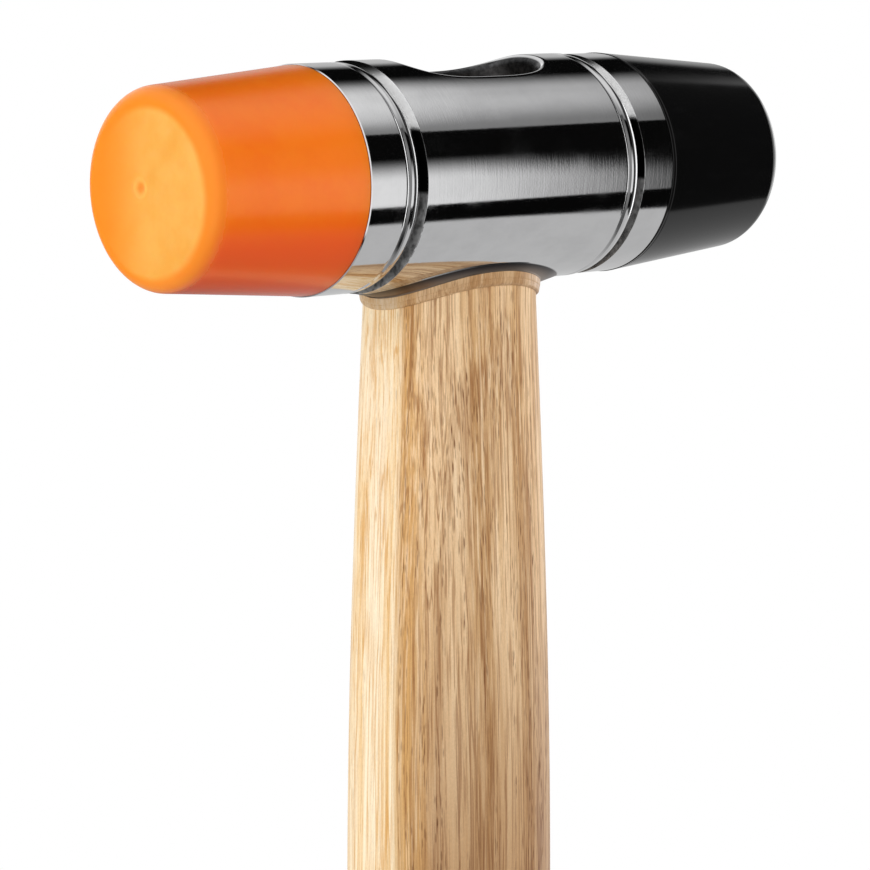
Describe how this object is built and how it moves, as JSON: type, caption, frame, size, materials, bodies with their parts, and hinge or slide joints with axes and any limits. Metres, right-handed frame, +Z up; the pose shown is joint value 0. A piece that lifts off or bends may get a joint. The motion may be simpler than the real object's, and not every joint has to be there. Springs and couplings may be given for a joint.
{
  "type": "tinsmith hammer",
  "caption": "Two-faced tinsmith hammer: chromed round head with a tapered plastic face and a tapered rubber face that both unscrew, on a wedged oval ash handle.",
  "frame": {"origin": "centre of the flat butt of the handle, on which the hammer stands", "axes": "+Z up along the handle to the head; +X along the head from the plastic face to the rubber face; +Y across the head"},
  "size_m": [0.1208, 0.0354, 0.3],
  "materials": {
    "chrome": "bright chrome plate on a turned steel head, faint polishing haze",
    "ash_wood": "clear-lacquered ash with straight dark-pored grain",
    "wedge_wood": "sawn hardwood end grain",
    "bare_steel": "zinc-bright machined steel",
    "clear_resin": "clear honey resin over wood, glossy",
    "orange_plastic": "moulded, slightly translucent, semi-gloss",
    "black_rubber": "moulded satin black"
  },
  "bodies": {
    "hammer_body": {"head_body": "chrome", "handle": "ash_wood", "wood_wedge": "wedge_wood", "steel_wedges": "bare_steel", "resin_collar": "clear_resin"},
    "plastic_stud": {"plastic_face_stud": "bare_steel"},
    "plastic_face": {"plastic_face": "orange_plastic"},
    "rubber_stud": {"rubber_face_stud": "bare_steel"},
    "rubber_face": {"rubber_face": "black_rubber"}
  },
  "joints": [
    {"name": "plastic_stud_advance", "type": "slide", "parent": "hammer_body", "child": "plastic_stud", "axis": [-1, 0, 0], "range_m": [0, 0.01225]},
    {"name": "plastic_face_turn", "type": "hinge", "parent": "plastic_stud", "child": "plastic_face", "pos_m": [-0.0318, 0, 0.2823], "axis": [-1, 0, 0], "range_deg": [0, 2520]},
    {"name": "rubber_stud_advance", "type": "slide", "parent": "hammer_body", "child": "rubber_stud", "axis": [1, 0, 0], "range_m": [0, 0.01225]},
    {"name": "rubber_face_turn", "type": "hinge", "parent": "rubber_stud", "child": "rubber_face", "pos_m": [0.0318, 0, 0.2823], "axis": [1, 0, 0], "range_deg": [0, 2520]}
  ],
  "couplings": [
    {"joint": "plastic_stud_advance", "follows": "plastic_face_turn", "m_per_rad": 0.00027852},
    {"joint": "rubber_stud_advance", "follows": "rubber_face_turn", "m_per_rad": 0.00027852}
  ]
}
